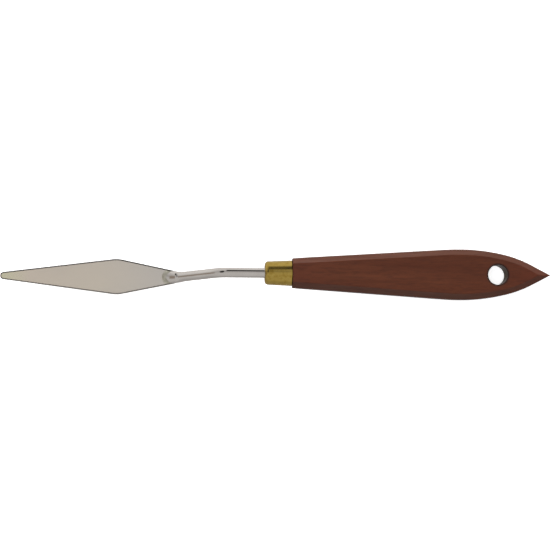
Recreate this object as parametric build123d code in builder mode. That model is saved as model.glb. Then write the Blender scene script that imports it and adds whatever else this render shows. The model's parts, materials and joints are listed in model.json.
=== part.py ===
from build123d import *

import math
import os

# Palette knife with a cranked shank, lying on a table as it is put down between strokes.
# All lengths are millimetres. Places are given in the knife's own directions: u runs along
# the axis of the handle, from 0 at the front of the ferrule towards the pointed end; v runs
# across the flats; w is the height above the axis of the handle. The blade is parallel to
# the flats of the handle and lies lower, so a knife on a table leans on the heel of its
# crank and on the pointed end, with the tip of its blade in the air.

# Blade: a ground lozenge of spring steel
BLADE_TIP_U = -106.9
BLADE_WIDEST_U = -59.35
BLADE_ROOT_U = -36.0
BLADE_WIDEST_HALF = 7.34
BLADE_FRONT_ANGLE = 7.2
BLADE_REAR_ANGLE = 11.6
BLADE_CORNER_RADIUS = 12.0
BLADE_TOP_W = -13.0
BLADE_ROOT_THICKNESS = 0.85
BLADE_TIP_THICKNESS = 0.4
BLADE_BEVEL_DROP = 0.18
BLADE_BEVEL_WIDTH = 0.5

# Shank: round steel rod, cranked down and a little to one side, with a flattened nose
ROD_RADIUS = 2.0
CRANK_TOP_U = -18.0
CRANK_BOTTOM_U = -34.3
CRANK_DROP = 12.35
CRANK_SET = 1.5
CRANK_BEND_RADII = (8.0, 3.5)
NOSE_FRONT_U = -40.6
NOSE_HALF_WIDTH = 2.5
NOSE_FRONT_HALF_WIDTH = 1.3
NOSE_FRONT_HEIGHT = 0.4
NOSE_STEPS = (0.0, 0.3, 0.6, 0.85, 1.0)
FLARE_LENGTH = 5.0
FLARE_SECTIONS = 10
TANG_END_U = 56.0
TANG_FLAT_LENGTH = 14.0
TANG_FLAT_THICKNESS = 2.8

# Weld that joins the nose to the blade, ground to a small sloping bead
WELD_WIDTH = 0.7
WELD_HEIGHT = 0.55
WELD_TOP_BEVEL = 0.8
WELD_SIDE_BEVEL = 0.5

# Ferrule: drawn brass cup
FERRULE_LENGTH = 11.1
FERRULE_FRONT_RADIUS = 4.72
FERRULE_REAR_RADIUS = 5.18
FERRULE_WALL = 0.45
FERRULE_ROUND = 1.45
FERRULE_RIM_ROUND = 0.35
FERRULE_HOLE_CLEARANCE = 0.04

# Handle: shaped from a flat board
WOOD_FRONT_U = 11.2
WOOD_POINT_U = 115.4
WOOD_HALF_THICKNESS = 5.2
WOOD_FRONT_HALF_WIDTH = 5.946
WOOD_SIDE_ANGLE = 3.75
WOOD_SIDE_LENGTH = 60.2
WOOD_SHOULDER_RADIUS = 119.0
WOOD_BELLY_RADIUS = 76.0
WOOD_BELLY_ANGLE = 13.5
WOOD_TAIL_RADIUS = 46.0
WOOD_POINT_ANGLE = 27.0
WOOD_POINT_CUT = 0.25
WOOD_BEVEL_WIDTH = 2.3
WOOD_BEVEL_DROP = 1.7
WOOD_BEVEL_ROUND = 0.6
WOOD_FRONT_TURNED_RADIUS = 6.3
WOOD_FRONT_TURNED_ANGLE = 9.0
WOOD_FRONT_TURNED_LENGTH = 40.0
TENON_CLEARANCE = 0.05
TENON_END_GAP = 0.4
BORE_RADIUS = 2.3
BORE_END_GAP = 1.0
HANG_HOLE_U = 93.8
HANG_HOLE_RADIUS = 4.0
HANG_HOLE_EDGE = 0.25

os.makedirs("parts", exist_ok=True)

# The knife leans on two points: the heel, which is the underside of the lower bend, and the
# toe, which is the far end of the lower flat, where the bevels of the point meet.
crank_depth = math.hypot(CRANK_DROP, CRANK_SET)
bend_half_angle = math.atan2(crank_depth, CRANK_TOP_U - CRANK_BOTTOM_U) / 2
heel_u = CRANK_BOTTOM_U - CRANK_BEND_RADII[1] * math.tan(bend_half_angle)
heel_w = -CRANK_DROP - ROD_RADIUS
point_sine = math.sin(math.radians(WOOD_POINT_ANGLE))
bevel_angle = math.atan2(WOOD_BEVEL_DROP, WOOD_BEVEL_WIDTH)
flat_inset = WOOD_BEVEL_WIDTH + WOOD_BEVEL_ROUND * math.tan(bevel_angle / 2)
toe_u = WOOD_POINT_U - flat_inset / point_sine
lean = math.atan2(-WOOD_HALF_THICKNESS - heel_w, toe_u - heel_u)

# The origin is on the table, under the middle of the knife's length.
height = heel_u * math.sin(lean) - heel_w * math.cos(lean)
cut_point_u = WOOD_POINT_U - WOOD_POINT_CUT * math.cos(math.radians(WOOD_POINT_ANGLE))
cut_point_w = WOOD_HALF_THICKNESS - WOOD_BEVEL_DROP
blade_tip_w = BLADE_TOP_W - BLADE_TIP_THICKNESS
length_sum = (BLADE_TIP_U + cut_point_u) * math.cos(lean)
shift = -(length_sum + (blade_tip_w + cut_point_w) * math.sin(lean)) / 2
knife = Plane(
    origin=(shift, 0, height),
    x_dir=(math.cos(lean), 0, -math.sin(lean)),
    z_dir=(math.sin(lean), 0, math.cos(lean)),
)


def level(u=0.0, v=0.0, w=0.0):
    """The plane parallel to the flats of the handle at a place on the knife."""
    return Plane(knife.from_local_coords((u, v, w)), x_dir=knife.x_dir, z_dir=knife.z_dir)


def across(u, v=0.0, w=0.0):
    """The plane square to the handle's axis at a place on the knife, facing the pointed end."""
    return Plane(knife.from_local_coords((u, v, w)), x_dir=knife.y_dir, z_dir=knife.x_dir)


def upright(v=0.0):
    """The plane along the knife that stands square to the flats, with w up."""
    return Plane(knife.from_local_coords((0, v, 0)), x_dir=knife.x_dir, z_dir=-knife.y_dir)


def knife_up(shape):
    """How high a face or an edge lies above the handle's axis."""
    return knife.to_local_coords(shape.center()).Z


def knife_along(shape):
    """How far along the knife a face or an edge lies."""
    return knife.to_local_coords(shape.center()).X


def is_outer_edge(edge):
    """Whether an edge of the handle's half lies on its outline and not on its square ends."""
    middle = knife.to_local_coords(edge.center())
    return middle.Y > 0.1 and middle.X > WOOD_FRONT_U + 0.1


def is_level_edge(edge):
    """Whether an edge keeps its height above the handle's axis from end to end."""
    return abs((knife.to_local_coords(edge @ 1) - knife.to_local_coords(edge @ 0)).Z) < 0.01


# ---------------------------------------------------------------- shank
rise = knife.y_dir * CRANK_SET + knife.z_dir * CRANK_DROP
crank_plane = Plane(knife.origin, x_dir=knife.x_dir, z_dir=knife.x_dir.cross(rise))
blade_v = -CRANK_SET
nose_length = BLADE_ROOT_U - NOSE_FRONT_U

with BuildPart() as shank:
    with BuildLine(crank_plane) as crank_path:
        FilletPolyline(
            (TANG_END_U, 0),
            (CRANK_TOP_U, 0),
            (CRANK_BOTTOM_U, -crank_depth),
            (BLADE_ROOT_U, -crank_depth),
            radius=CRANK_BEND_RADII,
        )
    crank_wire = crank_path.wires()[0]
    rod_wire = crank_wire.trim(0, 1 - FLARE_LENGTH / crank_wire.length)
    with BuildSketch(across(TANG_END_U)):
        Circle(ROD_RADIUS)
    sweep(path=rod_wire)
    # The foot of the rod spreads as it bends level with the blade
    for section in range(FLARE_SECTIONS + 1):
        step = section / FLARE_SECTIONS
        place = 1 - (1 - step) * FLARE_LENGTH / crank_wire.length
        foot = Plane(crank_wire @ place, x_dir=knife.y_dir, z_dir=crank_wire % place)
        with BuildSketch(foot):
            Ellipse(ROD_RADIUS + (NOSE_HALF_WIDTH - ROD_RADIUS) * step**2, ROD_RADIUS)
    loft()
    # The nose flattens from there to a thin rounded front
    for step in NOSE_STEPS:
        nose_top_w = heel_w + 2 * ROD_RADIUS
        nose_top_w += (BLADE_TOP_W + NOSE_FRONT_HEIGHT - nose_top_w) * math.sin(step * math.pi / 2)
        nose_half_height = (nose_top_w - heel_w) / 2
        nose_half_width = NOSE_FRONT_HALF_WIDTH + (NOSE_HALF_WIDTH - NOSE_FRONT_HALF_WIDTH) * (
            1 - step**3
        )
        nose_u = BLADE_ROOT_U - step * nose_length
        with BuildSketch(across(nose_u, blade_v, heel_w + nose_half_height)):
            Ellipse(nose_half_width, nose_half_height)
    loft()
    # The underside of the nose is cut away to lap on the blade
    with BuildSketch(level(BLADE_ROOT_U, blade_v, BLADE_TOP_W)):
        Rectangle(2 * nose_length, 4 * ROD_RADIUS, align=(Align.MAX, Align.CENTER))
    extrude(amount=-2 * ROD_RADIUS, mode=Mode.SUBTRACT)
    # Two flats near the end of the tang stop the handle turning on it
    with BuildSketch(upright(-ROD_RADIUS)):
        with Locations((TANG_END_U - TANG_FLAT_LENGTH / 2, 0)):
            Rectangle(TANG_FLAT_LENGTH, 2 * ROD_RADIUS)
            Rectangle(TANG_FLAT_LENGTH, TANG_FLAT_THICKNESS, mode=Mode.SUBTRACT)
    extrude(amount=-2 * ROD_RADIUS, mode=Mode.SUBTRACT)

shank.part.label = "shank"
export_step(shank.part, "parts/shank.step")

# ---------------------------------------------------------------- blade
blade_plane = level(0, blade_v, BLADE_TOP_W)
front_rise = math.tan(math.radians(BLADE_FRONT_ANGLE))
rear_fall = math.tan(math.radians(BLADE_REAR_ANGLE))
blade_apex_u = BLADE_WIDEST_U - BLADE_WIDEST_HALF / front_rise
front_sine = math.sin(math.radians(BLADE_FRONT_ANGLE))
blade_tip_radius = (BLADE_TIP_U - blade_apex_u) * front_sine / (1 - front_sine)
blade_root_half = BLADE_WIDEST_HALF - rear_fall * (BLADE_ROOT_U - BLADE_WIDEST_U)

with BuildPart() as blade:
    with BuildSketch(blade_plane) as blade_outline:
        with BuildLine():
            FilletPolyline(
                (blade_apex_u, 0),
                (BLADE_WIDEST_U, BLADE_WIDEST_HALF),
                (BLADE_ROOT_U, blade_root_half),
                (BLADE_ROOT_U, -blade_root_half),
                (BLADE_WIDEST_U, -BLADE_WIDEST_HALF),
                radius=(blade_tip_radius, BLADE_CORNER_RADIUS, 0, 0, BLADE_CORNER_RADIUS),
                close=True,
            )
        make_face()
    extrude(amount=-BLADE_ROOT_THICKNESS)
    # The underside is ground away towards the tip
    with BuildSketch(upright(blade_v - 2 * BLADE_WIDEST_HALF)):
        with BuildLine():
            Polyline(
                (BLADE_ROOT_U, BLADE_TOP_W - BLADE_ROOT_THICKNESS),
                (BLADE_TIP_U - 1, BLADE_TOP_W - BLADE_TIP_THICKNESS),
                (BLADE_TIP_U - 1, BLADE_TOP_W - 2 * BLADE_ROOT_THICKNESS),
                (BLADE_ROOT_U, BLADE_TOP_W - 2 * BLADE_ROOT_THICKNESS),
                close=True,
            )
        make_face()
    extrude(amount=-4 * BLADE_WIDEST_HALF, mode=Mode.SUBTRACT)
    # Its upper edges are bevelled all round, apart from the root under the nose
    top_face = blade.faces().sort_by(knife_up)[-1]
    root_edge = top_face.edges().sort_by(knife_along)[-1]
    bevel_edges = [edge for edge in top_face.edges() if not edge.is_same(root_edge)]
    chamfer(bevel_edges, BLADE_BEVEL_WIDTH, BLADE_BEVEL_DROP, reference=top_face)

blade.part.label = "blade"
export_step(blade.part, "parts/blade.step")

# ---------------------------------------------------------------- weld
with BuildPart() as weld:
    with BuildSketch(blade_plane):
        with Locations((NOSE_FRONT_U + NOSE_HALF_WIDTH, 0)):
            Circle(NOSE_HALF_WIDTH + WELD_WIDTH)
        with Locations((BLADE_ROOT_U, 0)):
            Rectangle(
                nose_length - NOSE_HALF_WIDTH,
                2 * (NOSE_HALF_WIDTH + WELD_WIDTH),
                align=(Align.MAX, Align.CENTER),
            )
    extrude(amount=WELD_HEIGHT)
    weld_top = weld.faces().sort_by(knife_up)[-1]
    chamfer(weld_top.edges(), WELD_TOP_BEVEL, WELD_SIDE_BEVEL, reference=weld_top)
    with BuildSketch(blade_plane):
        add(blade_outline.sketch_local)
        offset(amount=-BLADE_BEVEL_WIDTH)
    extrude(amount=2 * WELD_HEIGHT, mode=Mode.INTERSECT)
    add(shank.part, mode=Mode.SUBTRACT)

weld.part.label = "weld"
export_step(weld.part, "parts/weld.step")

# ---------------------------------------------------------------- ferrule
with BuildPart() as ferrule:
    with BuildSketch(upright()):
        with BuildLine():
            Polyline(
                (0, 0),
                (0, FERRULE_FRONT_RADIUS),
                (FERRULE_LENGTH, FERRULE_REAR_RADIUS),
                (FERRULE_LENGTH, 0),
                close=True,
            )
        make_face()
    revolve(axis=Axis(knife.origin, knife.x_dir))
    fillet(ferrule.edges().filter_by(GeomType.CIRCLE).sort_by(knife_along)[0], FERRULE_ROUND)
    rear_face = ferrule.faces().sort_by(knife_along)[-1]
    offset(amount=-FERRULE_WALL, openings=rear_face)
    rear_rims = ferrule.edges().filter_by(GeomType.CIRCLE).group_by(knife_along)[-1]
    fillet(rear_rims.sort_by(SortBy.RADIUS)[-1], FERRULE_RIM_ROUND)
    with BuildSketch(across(-1)):
        Circle(ROD_RADIUS + FERRULE_HOLE_CLEARANCE)
    extrude(amount=2, mode=Mode.SUBTRACT)

ferrule.part.label = "ferrule"
export_step(ferrule.part, "parts/ferrule.step")

# ---------------------------------------------------------------- handle
side_slope = math.tan(math.radians(WOOD_SIDE_ANGLE))
tenon_front_u = FERRULE_WALL + TENON_END_GAP
tenon_front_radius = FERRULE_FRONT_RADIUS - FERRULE_WALL - TENON_CLEARANCE
tenon_rear_radius = FERRULE_REAR_RADIUS - FERRULE_WALL - TENON_CLEARANCE

with BuildPart() as handle:
    # One half of the body, whose outer edges are bevelled before it is mirrored
    with BuildSketch(level()):
        with BuildLine():
            side = Line(
                (WOOD_FRONT_U, WOOD_FRONT_HALF_WIDTH),
                (
                    WOOD_FRONT_U + WOOD_SIDE_LENGTH,
                    WOOD_FRONT_HALF_WIDTH + WOOD_SIDE_LENGTH * side_slope,
                ),
            )
            shoulder = JernArc(side @ 1, side % 1, WOOD_SHOULDER_RADIUS, -WOOD_SIDE_ANGLE)
            belly = JernArc(shoulder @ 1, shoulder % 1, WOOD_BELLY_RADIUS, -WOOD_BELLY_ANGLE)
            tail = JernArc(
                belly @ 1, belly % 1, WOOD_TAIL_RADIUS, WOOD_BELLY_ANGLE - WOOD_POINT_ANGLE
            )
            Polyline(tail @ 1, (WOOD_POINT_U, 0), (WOOD_FRONT_U, 0), side @ 0)
        make_face()
    extrude(amount=WOOD_HALF_THICKNESS, both=True)
    for flat_index in (0, -1):
        flat = handle.faces().sort_by(knife_up)[flat_index]
        long_edges = [edge for edge in flat.edges() if is_outer_edge(edge)]
        chamfer(long_edges, WOOD_BEVEL_WIDTH, WOOD_BEVEL_DROP, reference=flat)
    bevels = handle.edges().filter_by(lambda edge: is_outer_edge(edge) and is_level_edge(edge))
    fillet(bevels, WOOD_BEVEL_ROUND)
    mirror(about=Plane(knife.origin, x_dir=knife.x_dir, z_dir=knife.y_dir))
    ridge = handle.edges().filter_by(lambda edge: knife_along(edge) > toe_u)
    point_edges = ridge.filter_by(lambda edge: abs(knife.to_local_coords(edge.center()).Y) < 0.01)
    chamfer(point_edges, WOOD_POINT_CUT)
    # The front end is turned down towards the ferrule
    with BuildSketch(upright()):
        with BuildLine():
            turned_end_u = WOOD_FRONT_U + WOOD_FRONT_TURNED_LENGTH
            turned_rise = WOOD_FRONT_TURNED_LENGTH * math.tan(math.radians(WOOD_FRONT_TURNED_ANGLE))
            Polyline(
                (WOOD_FRONT_U - 1, 4 * WOOD_HALF_THICKNESS),
                (WOOD_FRONT_U - 1, WOOD_FRONT_TURNED_RADIUS),
                (WOOD_FRONT_U, WOOD_FRONT_TURNED_RADIUS),
                (turned_end_u, WOOD_FRONT_TURNED_RADIUS + turned_rise),
                (turned_end_u, 4 * WOOD_HALF_THICKNESS),
                close=True,
            )
        make_face()
    revolve(axis=Axis(knife.origin, knife.x_dir), mode=Mode.SUBTRACT)
    # The tenon fills the ferrule
    with BuildSketch(upright()):
        with BuildLine():
            Polyline(
                (tenon_front_u, 0),
                (tenon_front_u, tenon_front_radius - FERRULE_ROUND / 2),
                (tenon_front_u + FERRULE_ROUND, tenon_front_radius),
                (WOOD_FRONT_U, tenon_rear_radius),
                (WOOD_FRONT_U + 1, 0),
                close=True,
            )
        make_face()
    revolve(axis=Axis(knife.origin, knife.x_dir))
    with BuildSketch(across(0)):
        Circle(BORE_RADIUS)
    extrude(amount=TANG_END_U + BORE_END_GAP, mode=Mode.SUBTRACT)
    with BuildSketch(level(HANG_HOLE_U)):
        Circle(HANG_HOLE_RADIUS)
    extrude(amount=2 * WOOD_HALF_THICKNESS, both=True, mode=Mode.SUBTRACT)
    rims = handle.edges().filter_by(GeomType.CIRCLE)
    rims = rims.filter_by(lambda edge: abs(edge.radius - HANG_HOLE_RADIUS) < 0.01)
    chamfer(rims, HANG_HOLE_EDGE)

handle.part.label = "handle"
export_step(handle.part, "parts/handle.step")

# ---------------------------------------------------------------- resin that holds the tang
with BuildPart() as tang_resin:
    with BuildSketch(across(tenon_front_u)):
        Circle(BORE_RADIUS)
    extrude(amount=TANG_END_U + BORE_END_GAP - tenon_front_u)
    add(shank.part, mode=Mode.SUBTRACT)

tang_resin.part.label = "tang_resin"
export_step(tang_resin.part, "parts/tang_resin.step")
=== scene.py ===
import json
import math

import bmesh
import bpy
from mathutils import Matrix, Vector


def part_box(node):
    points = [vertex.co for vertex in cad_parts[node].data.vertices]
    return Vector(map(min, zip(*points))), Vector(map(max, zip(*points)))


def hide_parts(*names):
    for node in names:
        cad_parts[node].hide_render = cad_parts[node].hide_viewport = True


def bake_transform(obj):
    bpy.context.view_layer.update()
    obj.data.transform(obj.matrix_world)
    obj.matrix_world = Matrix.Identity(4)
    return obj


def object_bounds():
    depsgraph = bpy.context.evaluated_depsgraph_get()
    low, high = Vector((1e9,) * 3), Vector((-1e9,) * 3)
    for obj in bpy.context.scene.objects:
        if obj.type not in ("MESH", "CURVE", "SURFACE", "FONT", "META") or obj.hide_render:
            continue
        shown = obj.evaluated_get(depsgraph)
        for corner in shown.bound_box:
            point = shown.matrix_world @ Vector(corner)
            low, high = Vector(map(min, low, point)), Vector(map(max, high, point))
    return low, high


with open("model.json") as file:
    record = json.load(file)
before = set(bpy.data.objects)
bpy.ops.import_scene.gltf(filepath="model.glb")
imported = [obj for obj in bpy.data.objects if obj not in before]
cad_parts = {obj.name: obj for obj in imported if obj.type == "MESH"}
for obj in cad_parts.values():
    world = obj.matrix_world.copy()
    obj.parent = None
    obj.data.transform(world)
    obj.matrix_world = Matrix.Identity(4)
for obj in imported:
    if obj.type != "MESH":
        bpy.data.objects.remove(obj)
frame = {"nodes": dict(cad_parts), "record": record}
cad_low, cad_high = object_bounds()
nodes = frame["nodes"]
hole = next(m for m in frame["record"]["mounts"] if m["name"] == "hanging_hole")

# The knife's own directions: the hole runs square to the flats, so its axis gives the lean.
UP = Vector(hole["axis"])
LEAN = math.atan2(UP.x, UP.z)
ALONG = Vector((math.cos(LEAN), 0, -math.sin(LEAN)))
HOLE_RADIUS = hole["dims"]["r_mm"] / 1000


def leaned(place):
    """A place in the knife's own directions."""
    return Vector((Vector(place).dot(ALONG), place[1], Vector(place).dot(UP)))


hole_place = leaned(hole["pos_m"])
handle_low, handle_high = (leaned(corner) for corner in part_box("handle"))
blade_start, blade_end = (leaned(corner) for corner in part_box("blade"))


# ---------------------------------------------------------------- shader helpers
class Nodes:
    """A node tree, with short calls for the nodes that are used here."""

    def __init__(self, tree):
        self.tree = tree

    def node(self, kind, **settings):
        made = self.tree.nodes.new(kind)
        for key, value in settings.items():
            setattr(made, key, value)
        return made

    def link(self, source, target):
        self.tree.links.new(source, target)

    def put(self, socket, value):
        """Gives an input a constant or a link from another node's output."""
        if isinstance(value, bpy.types.NodeSocket):
            self.link(value, socket)
        else:
            socket.default_value = value

    def ramp(self, factor, stops):
        """A colour for each value of the factor; stops are (place, colour) pairs."""
        ramp = self.node("ShaderNodeValToRGB")
        elements = ramp.color_ramp.elements
        for index, (place, colour) in enumerate(stops):
            element = elements[index] if index < 2 else elements.new(place)
            element.position = place
            element.color = (*colour, 1)
        self.link(factor, ramp.inputs["Fac"])
        return ramp.outputs["Color"]

    def span(self, value, low, high, to_low=0.0, to_high=1.0):
        """Maps low..high to to_low..to_high, clamped."""
        mapped = self.node("ShaderNodeMapRange")
        self.link(value, mapped.inputs["Value"])
        for name, number in zip(("From Min", "From Max", "To Min", "To Max"), (low, high, to_low, to_high)):
            mapped.inputs[name].default_value = number
        return mapped.outputs["Result"]

    def mix(self, factor, first, second):
        """Blends two colours; each is a link or a plain (red, green, blue)."""
        mixed = self.node("ShaderNodeMix", data_type="RGBA")
        self.put(mixed.inputs["Factor"], factor)
        self.put(mixed.inputs[6], first if isinstance(first, bpy.types.NodeSocket) else (*first, 1))
        self.put(mixed.inputs[7], second if isinstance(second, bpy.types.NodeSocket) else (*second, 1))
        return mixed.outputs[2]

    def parts(self, vector):
        """The X, Y and Z of a vector."""
        split = self.node("ShaderNodeSeparateXYZ")
        self.link(vector, split.inputs[0])
        return split.outputs

    def math(self, operation, first, second=0.0):
        result = self.node("ShaderNodeMath", operation=operation)
        self.put(result.inputs[0], first)
        self.put(result.inputs[1], second)
        return result.outputs[0]


class Shader(Nodes):
    """A material on the Principled shader, laid out in the knife's own directions."""

    def __init__(self, name):
        self.material = bpy.data.materials.new(name)
        self.material.use_nodes = True
        super().__init__(self.material.node_tree)
        self.surface = self.tree.nodes["Principled BSDF"]

    def place(self, scale=(1, 1, 1)):
        """Object coordinates turned to the knife's own directions, then scaled."""
        coordinates = self.node("ShaderNodeTexCoord")
        turned = self.node("ShaderNodeVectorRotate", rotation_type="Y_AXIS")
        turned.inputs["Angle"].default_value = -LEAN
        scaled = self.node("ShaderNodeMapping")
        scaled.inputs["Scale"].default_value = scale
        self.link(coordinates.outputs["Object"], turned.inputs["Vector"])
        self.link(turned.outputs["Vector"], scaled.inputs["Vector"])
        return scaled.outputs["Vector"]

    def bevels(self):
        """1 on faces that slope between the flats and the sides, 0 on the flats and sides."""
        facing = self.node("ShaderNodeVectorRotate", rotation_type="Y_AXIS")
        facing.inputs["Angle"].default_value = -LEAN
        self.link(self.node("ShaderNodeTexCoord").outputs["Normal"], facing.inputs["Vector"])
        upward = self.math("ABSOLUTE", self.parts(facing.outputs["Vector"])["Z"])
        return self.math("MULTIPLY", self.span(upward, 0.98, 0.90), self.span(upward, 0.3, 0.6))

    def radius_from_hole(self):
        """The distance of a place from the axis of the hanging hole."""
        flat = self.place((1, 1, 0))
        distance = self.node("ShaderNodeVectorMath", operation="DISTANCE")
        self.link(flat, distance.inputs[0])
        distance.inputs[1].default_value = (hole_place.x, hole_place.y, 0)
        return distance.outputs["Value"]

    def noise(self, scale, stretch=(1, 1, 1), detail=4.0, roughness=0.55, distortion=0.0):
        texture = self.node("ShaderNodeTexNoise")
        self.link(self.place(stretch), texture.inputs["Vector"])
        texture.inputs["Scale"].default_value = scale
        texture.inputs["Detail"].default_value = detail
        texture.inputs["Roughness"].default_value = roughness
        texture.inputs["Distortion"].default_value = distortion
        return texture.outputs["Fac"]

    def bump(self, height, strength, distance):
        bumped = self.node("ShaderNodeBump")
        bumped.inputs["Strength"].default_value = strength
        bumped.inputs["Distance"].default_value = distance
        self.link(height, bumped.inputs["Height"])
        self.link(bumped.outputs["Normal"], self.surface.inputs["Normal"])

    def set(self, **values):
        for name, value in values.items():
            self.put(self.surface.inputs[name.replace("_", " ")], value)


# ---------------------------------------------------------------- materials
def shank_steel():
    """Drawn and polished rod: fine lines along it and faint cloudy wear."""
    s = Shader("shank_steel")
    clouds = s.noise(90, detail=5)
    lines = s.noise(900, stretch=(0.06, 1, 1), detail=3)
    s.set(
        Base_Color=s.ramp(clouds, [(0.3, (0.60, 0.575, 0.555)), (0.7, (0.67, 0.65, 0.63))]),
        Metallic=1.0,
        Roughness=s.span(clouds, 0.3, 0.75, 0.07, 0.15),
    )
    s.bump(lines, 0.12, 0.00002)
    return s.material


def blade_steel():
    """Ground spring steel, polished along its length, with a painted reflection tint along it: straw at the
    tip, grey towards the shank.
    """
    s = Shader("blade_steel")
    clouds = s.noise(45, stretch=(0.6, 1.6, 1), detail=4)
    lines = s.noise(2200, stretch=(0.03, 1, 1), detail=3, roughness=0.7)
    along = s.span(s.parts(s.place())["X"], blade_start.x, blade_end.x)
    # Painted reflection: this straw-to-grey colour along the blade stands for the warmer and cooler room that
    # the blade mirrors along its length.
    tint = s.ramp(
        along,
        [
            (0.02, (0.81, 0.79, 0.58)),
            (0.16, (0.80, 0.72, 0.62)),
            (0.55, (0.77, 0.71, 0.62)),
            (0.9, (0.70, 0.67, 0.63)),
        ],
    )
    s.set(
        Base_Color=s.mix(s.span(clouds, 0.3, 0.72, 0.0, 0.16), tint, (0.72, 0.72, 0.74)),
        Metallic=1.0,
        Roughness=s.span(clouds, 0.3, 0.75, 0.16, 0.25),
    )
    s.bump(lines, 0.25, 0.00003)
    return s.material


def painted_shade_blade_edge():
    """The ground bevel of the blade: duller, and painted near black as painted shade for the dark outline
    along the blade's edges.
    """
    s = Shader("painted_shade_blade_edge")
    specks = s.noise(900, detail=4)
    # Painted shade: the near-black colour stands for the dark outline the bevelled edges show; the duller,
    # rougher finish is the bevel's own.
    s.set(
        Base_Color=s.ramp(specks, [(0.35, (0.17, 0.16, 0.145)), (0.65, (0.27, 0.255, 0.24))]),
        Metallic=1.0,
        Roughness=s.span(specks, 0.3, 0.7, 0.22, 0.34),
    )
    s.bump(specks, 0.2, 0.00003)
    return s.material


def weld_steel():
    """Ground weld: duller than the steel round it, with a straw heat tint."""
    s = Shader("weld_steel")
    spots = s.noise(700, detail=4)
    s.set(
        Base_Color=s.ramp(spots, [(0.35, (0.46, 0.45, 0.38)), (0.65, (0.66, 0.65, 0.57))]),
        Metallic=1.0,
        Roughness=s.span(spots, 0.3, 0.7, 0.28, 0.45),
    )
    s.bump(spots, 0.3, 0.00005)
    return s.material


def brass():
    """Drawn brass cup, buffed round and round, with a few darker spots."""
    s = Shader("ferrule_brass")
    turned = s.noise(1500, stretch=(1, 0.08, 0.08), detail=3)
    spots = s.noise(500, detail=5)
    colour = s.ramp(spots, [(0.3, (0.38, 0.25, 0.045)), (0.5, (0.46, 0.33, 0.08)), (0.7, (0.50, 0.365, 0.10))])
    s.set(Base_Color=colour, Metallic=1.0, Roughness=s.span(spots, 0.3, 0.7, 0.22, 0.14))
    s.bump(turned, 0.15, 0.00003)
    return s.material


# Metres: how far the redder wood reaches from the ferrule, and how far past the hole's edge the painted shade
# of the hole reaches and fades out.
WOOD_FRONT_LENGTH = 0.03
HOLE_SHADE_REACH = (0.0003, 0.0009)
# The pale greyish pink of the painted sheen on the bevels, which stands for the lacquer's highlight.
PAINTED_BEVEL_SHEEN = (0.30, 0.22, 0.19)


def wood():
    """Stained, lacquered hardwood with its grain along the handle, a painted sheen on the bevels and painted
    shade in the hole.
    """
    s = Shader("handle_wood")
    figure = s.noise(40, stretch=(0.14, 1, 1), detail=7, distortion=0.4)
    fibres = s.noise(420, stretch=(0.06, 1, 1), detail=5, roughness=0.75)
    pores = s.noise(1500, stretch=(0.12, 1, 1), detail=3, roughness=0.75)
    brown = s.ramp(
        figure,
        [(0.3, (0.060, 0.0142, 0.0060)), (0.5, (0.090, 0.0235, 0.0090)), (0.7, (0.124, 0.035, 0.0132))],
    )
    fibred = s.mix(s.span(fibres, 0.3, 0.7, 0.0, 0.55), brown, (0.056, 0.0140, 0.0068))
    along = s.parts(s.place())["X"]
    front_end = s.span(along, handle_low.x, handle_low.x + WOOD_FRONT_LENGTH, 0.35, 0.0)
    point_end = s.span(along, hole_place.x, handle_high.x, 0.0, 0.35)
    reddish = s.mix(front_end, s.mix(point_end, fibred, (0.145, 0.030, 0.0145)), (0.115, 0.026, 0.0135))
    pored = s.mix(s.span(pores, 0.45, 0.65, 0.0, 0.5), reddish, (0.045, 0.012, 0.0065))
    # Painted sheen: the bevel faces are blended towards a pale greyish pink, broken up along the grain,
    # standing for the lacquer's highlight on the edges.
    with_painted_sheen = s.mix(s.math("MULTIPLY", s.bevels(), s.span(fibres, 0.25, 0.7, 0.13, 0.05)), pored, PAINTED_BEVEL_SHEEN)
    # Painted shade: the hole's wall is darkened nearly to black, fading out in a dark ring round its edge.
    rim = (HOLE_RADIUS + reach for reach in HOLE_SHADE_REACH)
    painted_hole_shade = s.span(s.radius_from_hole(), *rim, 0.85, 0.0)
    s.set(
        Base_Color=s.mix(painted_hole_shade, with_painted_sheen, (0.018, 0.008, 0.006)),
        Roughness=s.span(fibres, 0.3, 0.7, 0.36, 0.5),
        Specular_IOR_Level=0.2,
    )
    s.bump(fibres, 0.3, 0.00006)
    return s.material


def resin():
    """Amber glue, out of sight in the bore."""
    s = Shader("tang_resin")
    bubbles = s.noise(900, detail=3)
    s.set(
        Base_Color=s.ramp(bubbles, [(0.35, (0.30, 0.17, 0.05)), (0.65, (0.42, 0.26, 0.09))]),
        Roughness=s.span(bubbles, 0.3, 0.7, 0.3, 0.5),
    )
    s.bump(bubbles, 0.2, 0.0001)
    return s.material


MATERIALS = {
    "blade": blade_steel(),
    "shank": shank_steel(),
    "weld": weld_steel(),
    "ferrule": brass(),
    "handle": wood(),
    "tang_resin": resin(),
}
for name, material in MATERIALS.items():
    for material_slot in nodes[name].material_slots:
        material_slot.material = material


# ---------------------------------------------------------------- the blade in strips
# Metres: the width of a strip, and the distance under which two points are one.
STRIP = 0.0008
MERGE_DISTANCE = 1e-7
# Degrees: faces closer than this are one flat, and faces tilted between these are the bevel.
FLAT_ANGLE = 0.5
EDGE_TILT = (8, 60)


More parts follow.
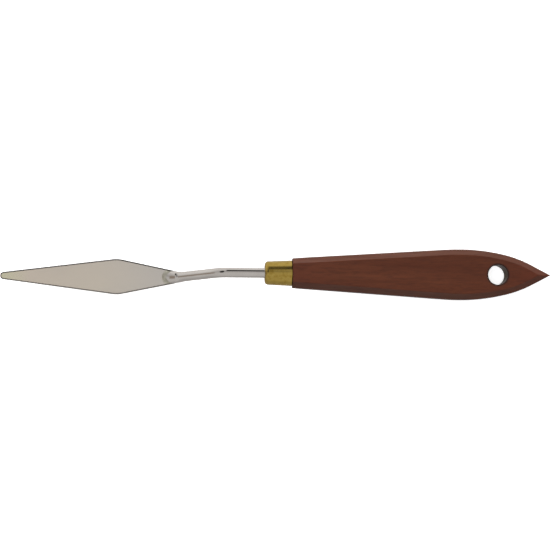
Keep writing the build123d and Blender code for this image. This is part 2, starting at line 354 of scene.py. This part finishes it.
def bending_blade():
    """The blade cut into narrow strips across its length."""
    source = nodes["blade"]
    mesh = bpy.data.meshes.new("flexible_blade")
    for material in (MATERIALS["blade"], painted_shade_blade_edge()):
        mesh.materials.append(material)
    cut = bmesh.new()
    cut.from_mesh(source.data)
    bmesh.ops.remove_doubles(cut, verts=cut.verts, dist=MERGE_DISTANCE)
    bmesh.ops.dissolve_limit(cut, angle_limit=math.radians(FLAT_ANGLE), verts=cut.verts, edges=cut.edges)
    along = [vertex.co.dot(ALONG) for vertex in cut.verts]
    count = int((max(along) - min(along)) / STRIP)
    for index in range(1, count):
        place = ALONG * (min(along) + index * STRIP)
        bmesh.ops.bisect_plane(
            cut,
            geom=cut.verts[:] + cut.edges[:] + cut.faces[:],
            dist=MERGE_DISTANCE,
            plane_co=place,
            plane_no=ALONG,
        )
    for face in cut.faces:
        tilt = math.degrees(face.normal.angle(UP))
        face.material_index = int(EDGE_TILT[0] < tilt < EDGE_TILT[1])
    cut.to_mesh(mesh)
    cut.free()
    mesh.attributes.remove(mesh.attributes["custom_normal"])
    mesh.shade_smooth()
    mesh.set_sharp_from_angle(angle=math.radians(EDGE_TILT[0]))
    blade = bpy.data.objects.new("flexible_blade", mesh)
    bpy.context.scene.collection.objects.link(blade)
    return blade


blade = bending_blade()
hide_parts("blade")
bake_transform(blade)


# ---------------------------------------------------------------- stage
def floor():
    """A plain white sheet under the knife, lit from above."""
    bpy.ops.mesh.primitive_plane_add(size=30, location=(0, 0, cad_low.z))
    sheet = bpy.context.object
    sheet.name = "floor"
    s = Shader("floor_white")
    s.set(
        Base_Color=(0.85, 0.85, 0.85, 1),
        Roughness=0.9,
        Emission_Color=(1, 1, 1, 1),
        Emission_Strength=0.75,
    )
    sheet.data.materials.append(s.material)
    sheet.visible_diffuse = False
    sheet.visible_glossy = False


def lamp(name, place, size, power):
    """A square soft lamp that shines at the middle of the knife."""
    data = bpy.data.lights.new(name, "AREA")
    data.shape = "SQUARE"
    data.size = size
    data.energy = power
    made = bpy.data.objects.new(name, data)
    made.location = place
    made.rotation_euler = (-Vector(place)).to_track_quat("-Z", "Y").to_euler()
    made.visible_glossy = False
    bpy.context.scene.collection.objects.link(made)


# What the polished metal mirrors, by the angle from straight up towards the back (+Y):
# a pale room. ROOM is (degrees, brightness).
ROOM = (
    (-180, 0.60), (-125, 0.45), (-92, 0.50), (-80, 0.62), (-14, 0.66), (-6, 0.60), (2, 0.66), (8, 0.66),
    (13, 0.42), (19, 0.42), (25, 0.58), (60, 0.66), (74, 0.84), (104, 0.9), (180, 0.60),
)
ROOM_TINT = (1.0, 0.965, 0.93)
# Dark things in it: a strip beyond the overhead light, which ends over the crank, an oval
# lamp hood past its end, and a thin rail near the horizon, over the blade. Places and edges
# are in degrees from straight up.
DARK = (0.02, 0.017, 0.016)
STRIP_EDGES = (27, 37, 58, 70)
STRIP_END = (-3, 0.5)
HOOD_PLACE = (-18, 20)
HOOD_STRETCH = 1.9
HOOD_SIZE = (25, 20)
RAIL_COLOUR = (0.34, 0.28, 0.23)
RAIL_START = (-48, -58)
RAIL_SIZE = (0.30, 0.10)


def room():
    """The surroundings: white to the camera, shaded to the mirror of the metal."""
    world = bpy.data.worlds.new("room")
    bpy.context.scene.world = world
    world.use_nodes = True
    n = Nodes(world.node_tree)
    n.tree.nodes.clear()
    direction = n.node("ShaderNodeTexCoord").outputs["Generated"]
    part = n.parts(direction)
    degrees = 180 / math.pi
    back = n.math("MULTIPLY", n.math("ARCTAN2", part["Y"], part["Z"]), degrees)
    side = n.math("MULTIPLY", n.math("ARCTAN2", part["X"], part["Z"]), degrees)
    pale = n.ramp(
        n.span(back, -180, 180),
        [((angle + 180) / 360, [level * tint for tint in ROOM_TINT]) for angle, level in ROOM],
    )
    strip = n.math("MULTIPLY", n.span(back, *STRIP_EDGES[:2]), n.span(back, *STRIP_EDGES[:1:-1]))
    strip = n.math("MULTIPLY", strip, n.span(side, *STRIP_END))
    hood_offset = n.node("ShaderNodeCombineXYZ")
    past_end = n.math("SUBTRACT", side, HOOD_PLACE[0])
    n.link(n.math("MULTIPLY", past_end, HOOD_STRETCH), hood_offset.inputs["X"])
    n.link(n.math("SUBTRACT", back, HOOD_PLACE[1]), hood_offset.inputs["Y"])
    hood_distance = n.node("ShaderNodeVectorMath", operation="LENGTH")
    n.link(hood_offset.outputs[0], hood_distance.inputs[0])
    hood = n.span(hood_distance.outputs["Value"], *HOOD_SIZE)
    rail = n.span(n.math("ABSOLUTE", part["Y"]), *RAIL_SIZE)
    rail = n.math("MULTIPLY", rail, n.span(side, *RAIL_START))
    shaded = n.mix(n.math("MAXIMUM", strip, hood), n.mix(rail, pale, RAIL_COLOUR), DARK)
    mirrored = n.node("ShaderNodeBackground")
    n.link(shaded, mirrored.inputs["Color"])
    seen = n.node("ShaderNodeBackground")
    seen.inputs["Color"].default_value = (1, 1, 1, 1)
    choose = n.node("ShaderNodeMixShader")
    n.link(n.node("ShaderNodeLightPath").outputs["Is Camera Ray"], choose.inputs["Fac"])
    n.link(mirrored.outputs[0], choose.inputs[1])
    n.link(seen.outputs[0], choose.inputs[2])
    n.link(choose.outputs[0], n.node("ShaderNodeOutputWorld").inputs["Surface"])
    world.cycles_visibility.diffuse = False


# Lens and sensor in mm, place in metres, and tilt, swing and roll in degrees.
CAMERA_LENS = 132.2
CAMERA_SENSOR = 36
CAMERA_PLACE = (0.0095, -0.0364, 0.8236)
CAMERA_TURN = (2.518, 0.625, 0.438)


def camera():
    """Above the knife, square to the table but for a small tilt and turn."""
    data = bpy.data.cameras.new("camera")
    data.lens = CAMERA_LENS
    data.sensor_width = CAMERA_SENSOR
    data.clip_end = 50
    made = bpy.data.objects.new("camera", data)
    made.location = CAMERA_PLACE
    tilt, swing, roll = (math.radians(angle) for angle in CAMERA_TURN)
    turn = Matrix.Rotation(roll, 3, "Z") @ Matrix.Rotation(swing, 3, "Y") @ Matrix.Rotation(tilt, 3, "X")
    made.rotation_euler = turn.to_euler()
    bpy.context.scene.collection.objects.link(made)
    bpy.context.scene.camera = made


floor()
lamp("key_light", (0.0, 1.0, 0.5), 0.8, 17)
lamp("top_light", (0.0, 0.0, 1.3), 0.8, 7)
lamp("fill_light", (-0.1, -1.0, 0.7), 1.0, 5)
room()
camera()
bpy.context.scene.view_settings.view_transform = "Standard"
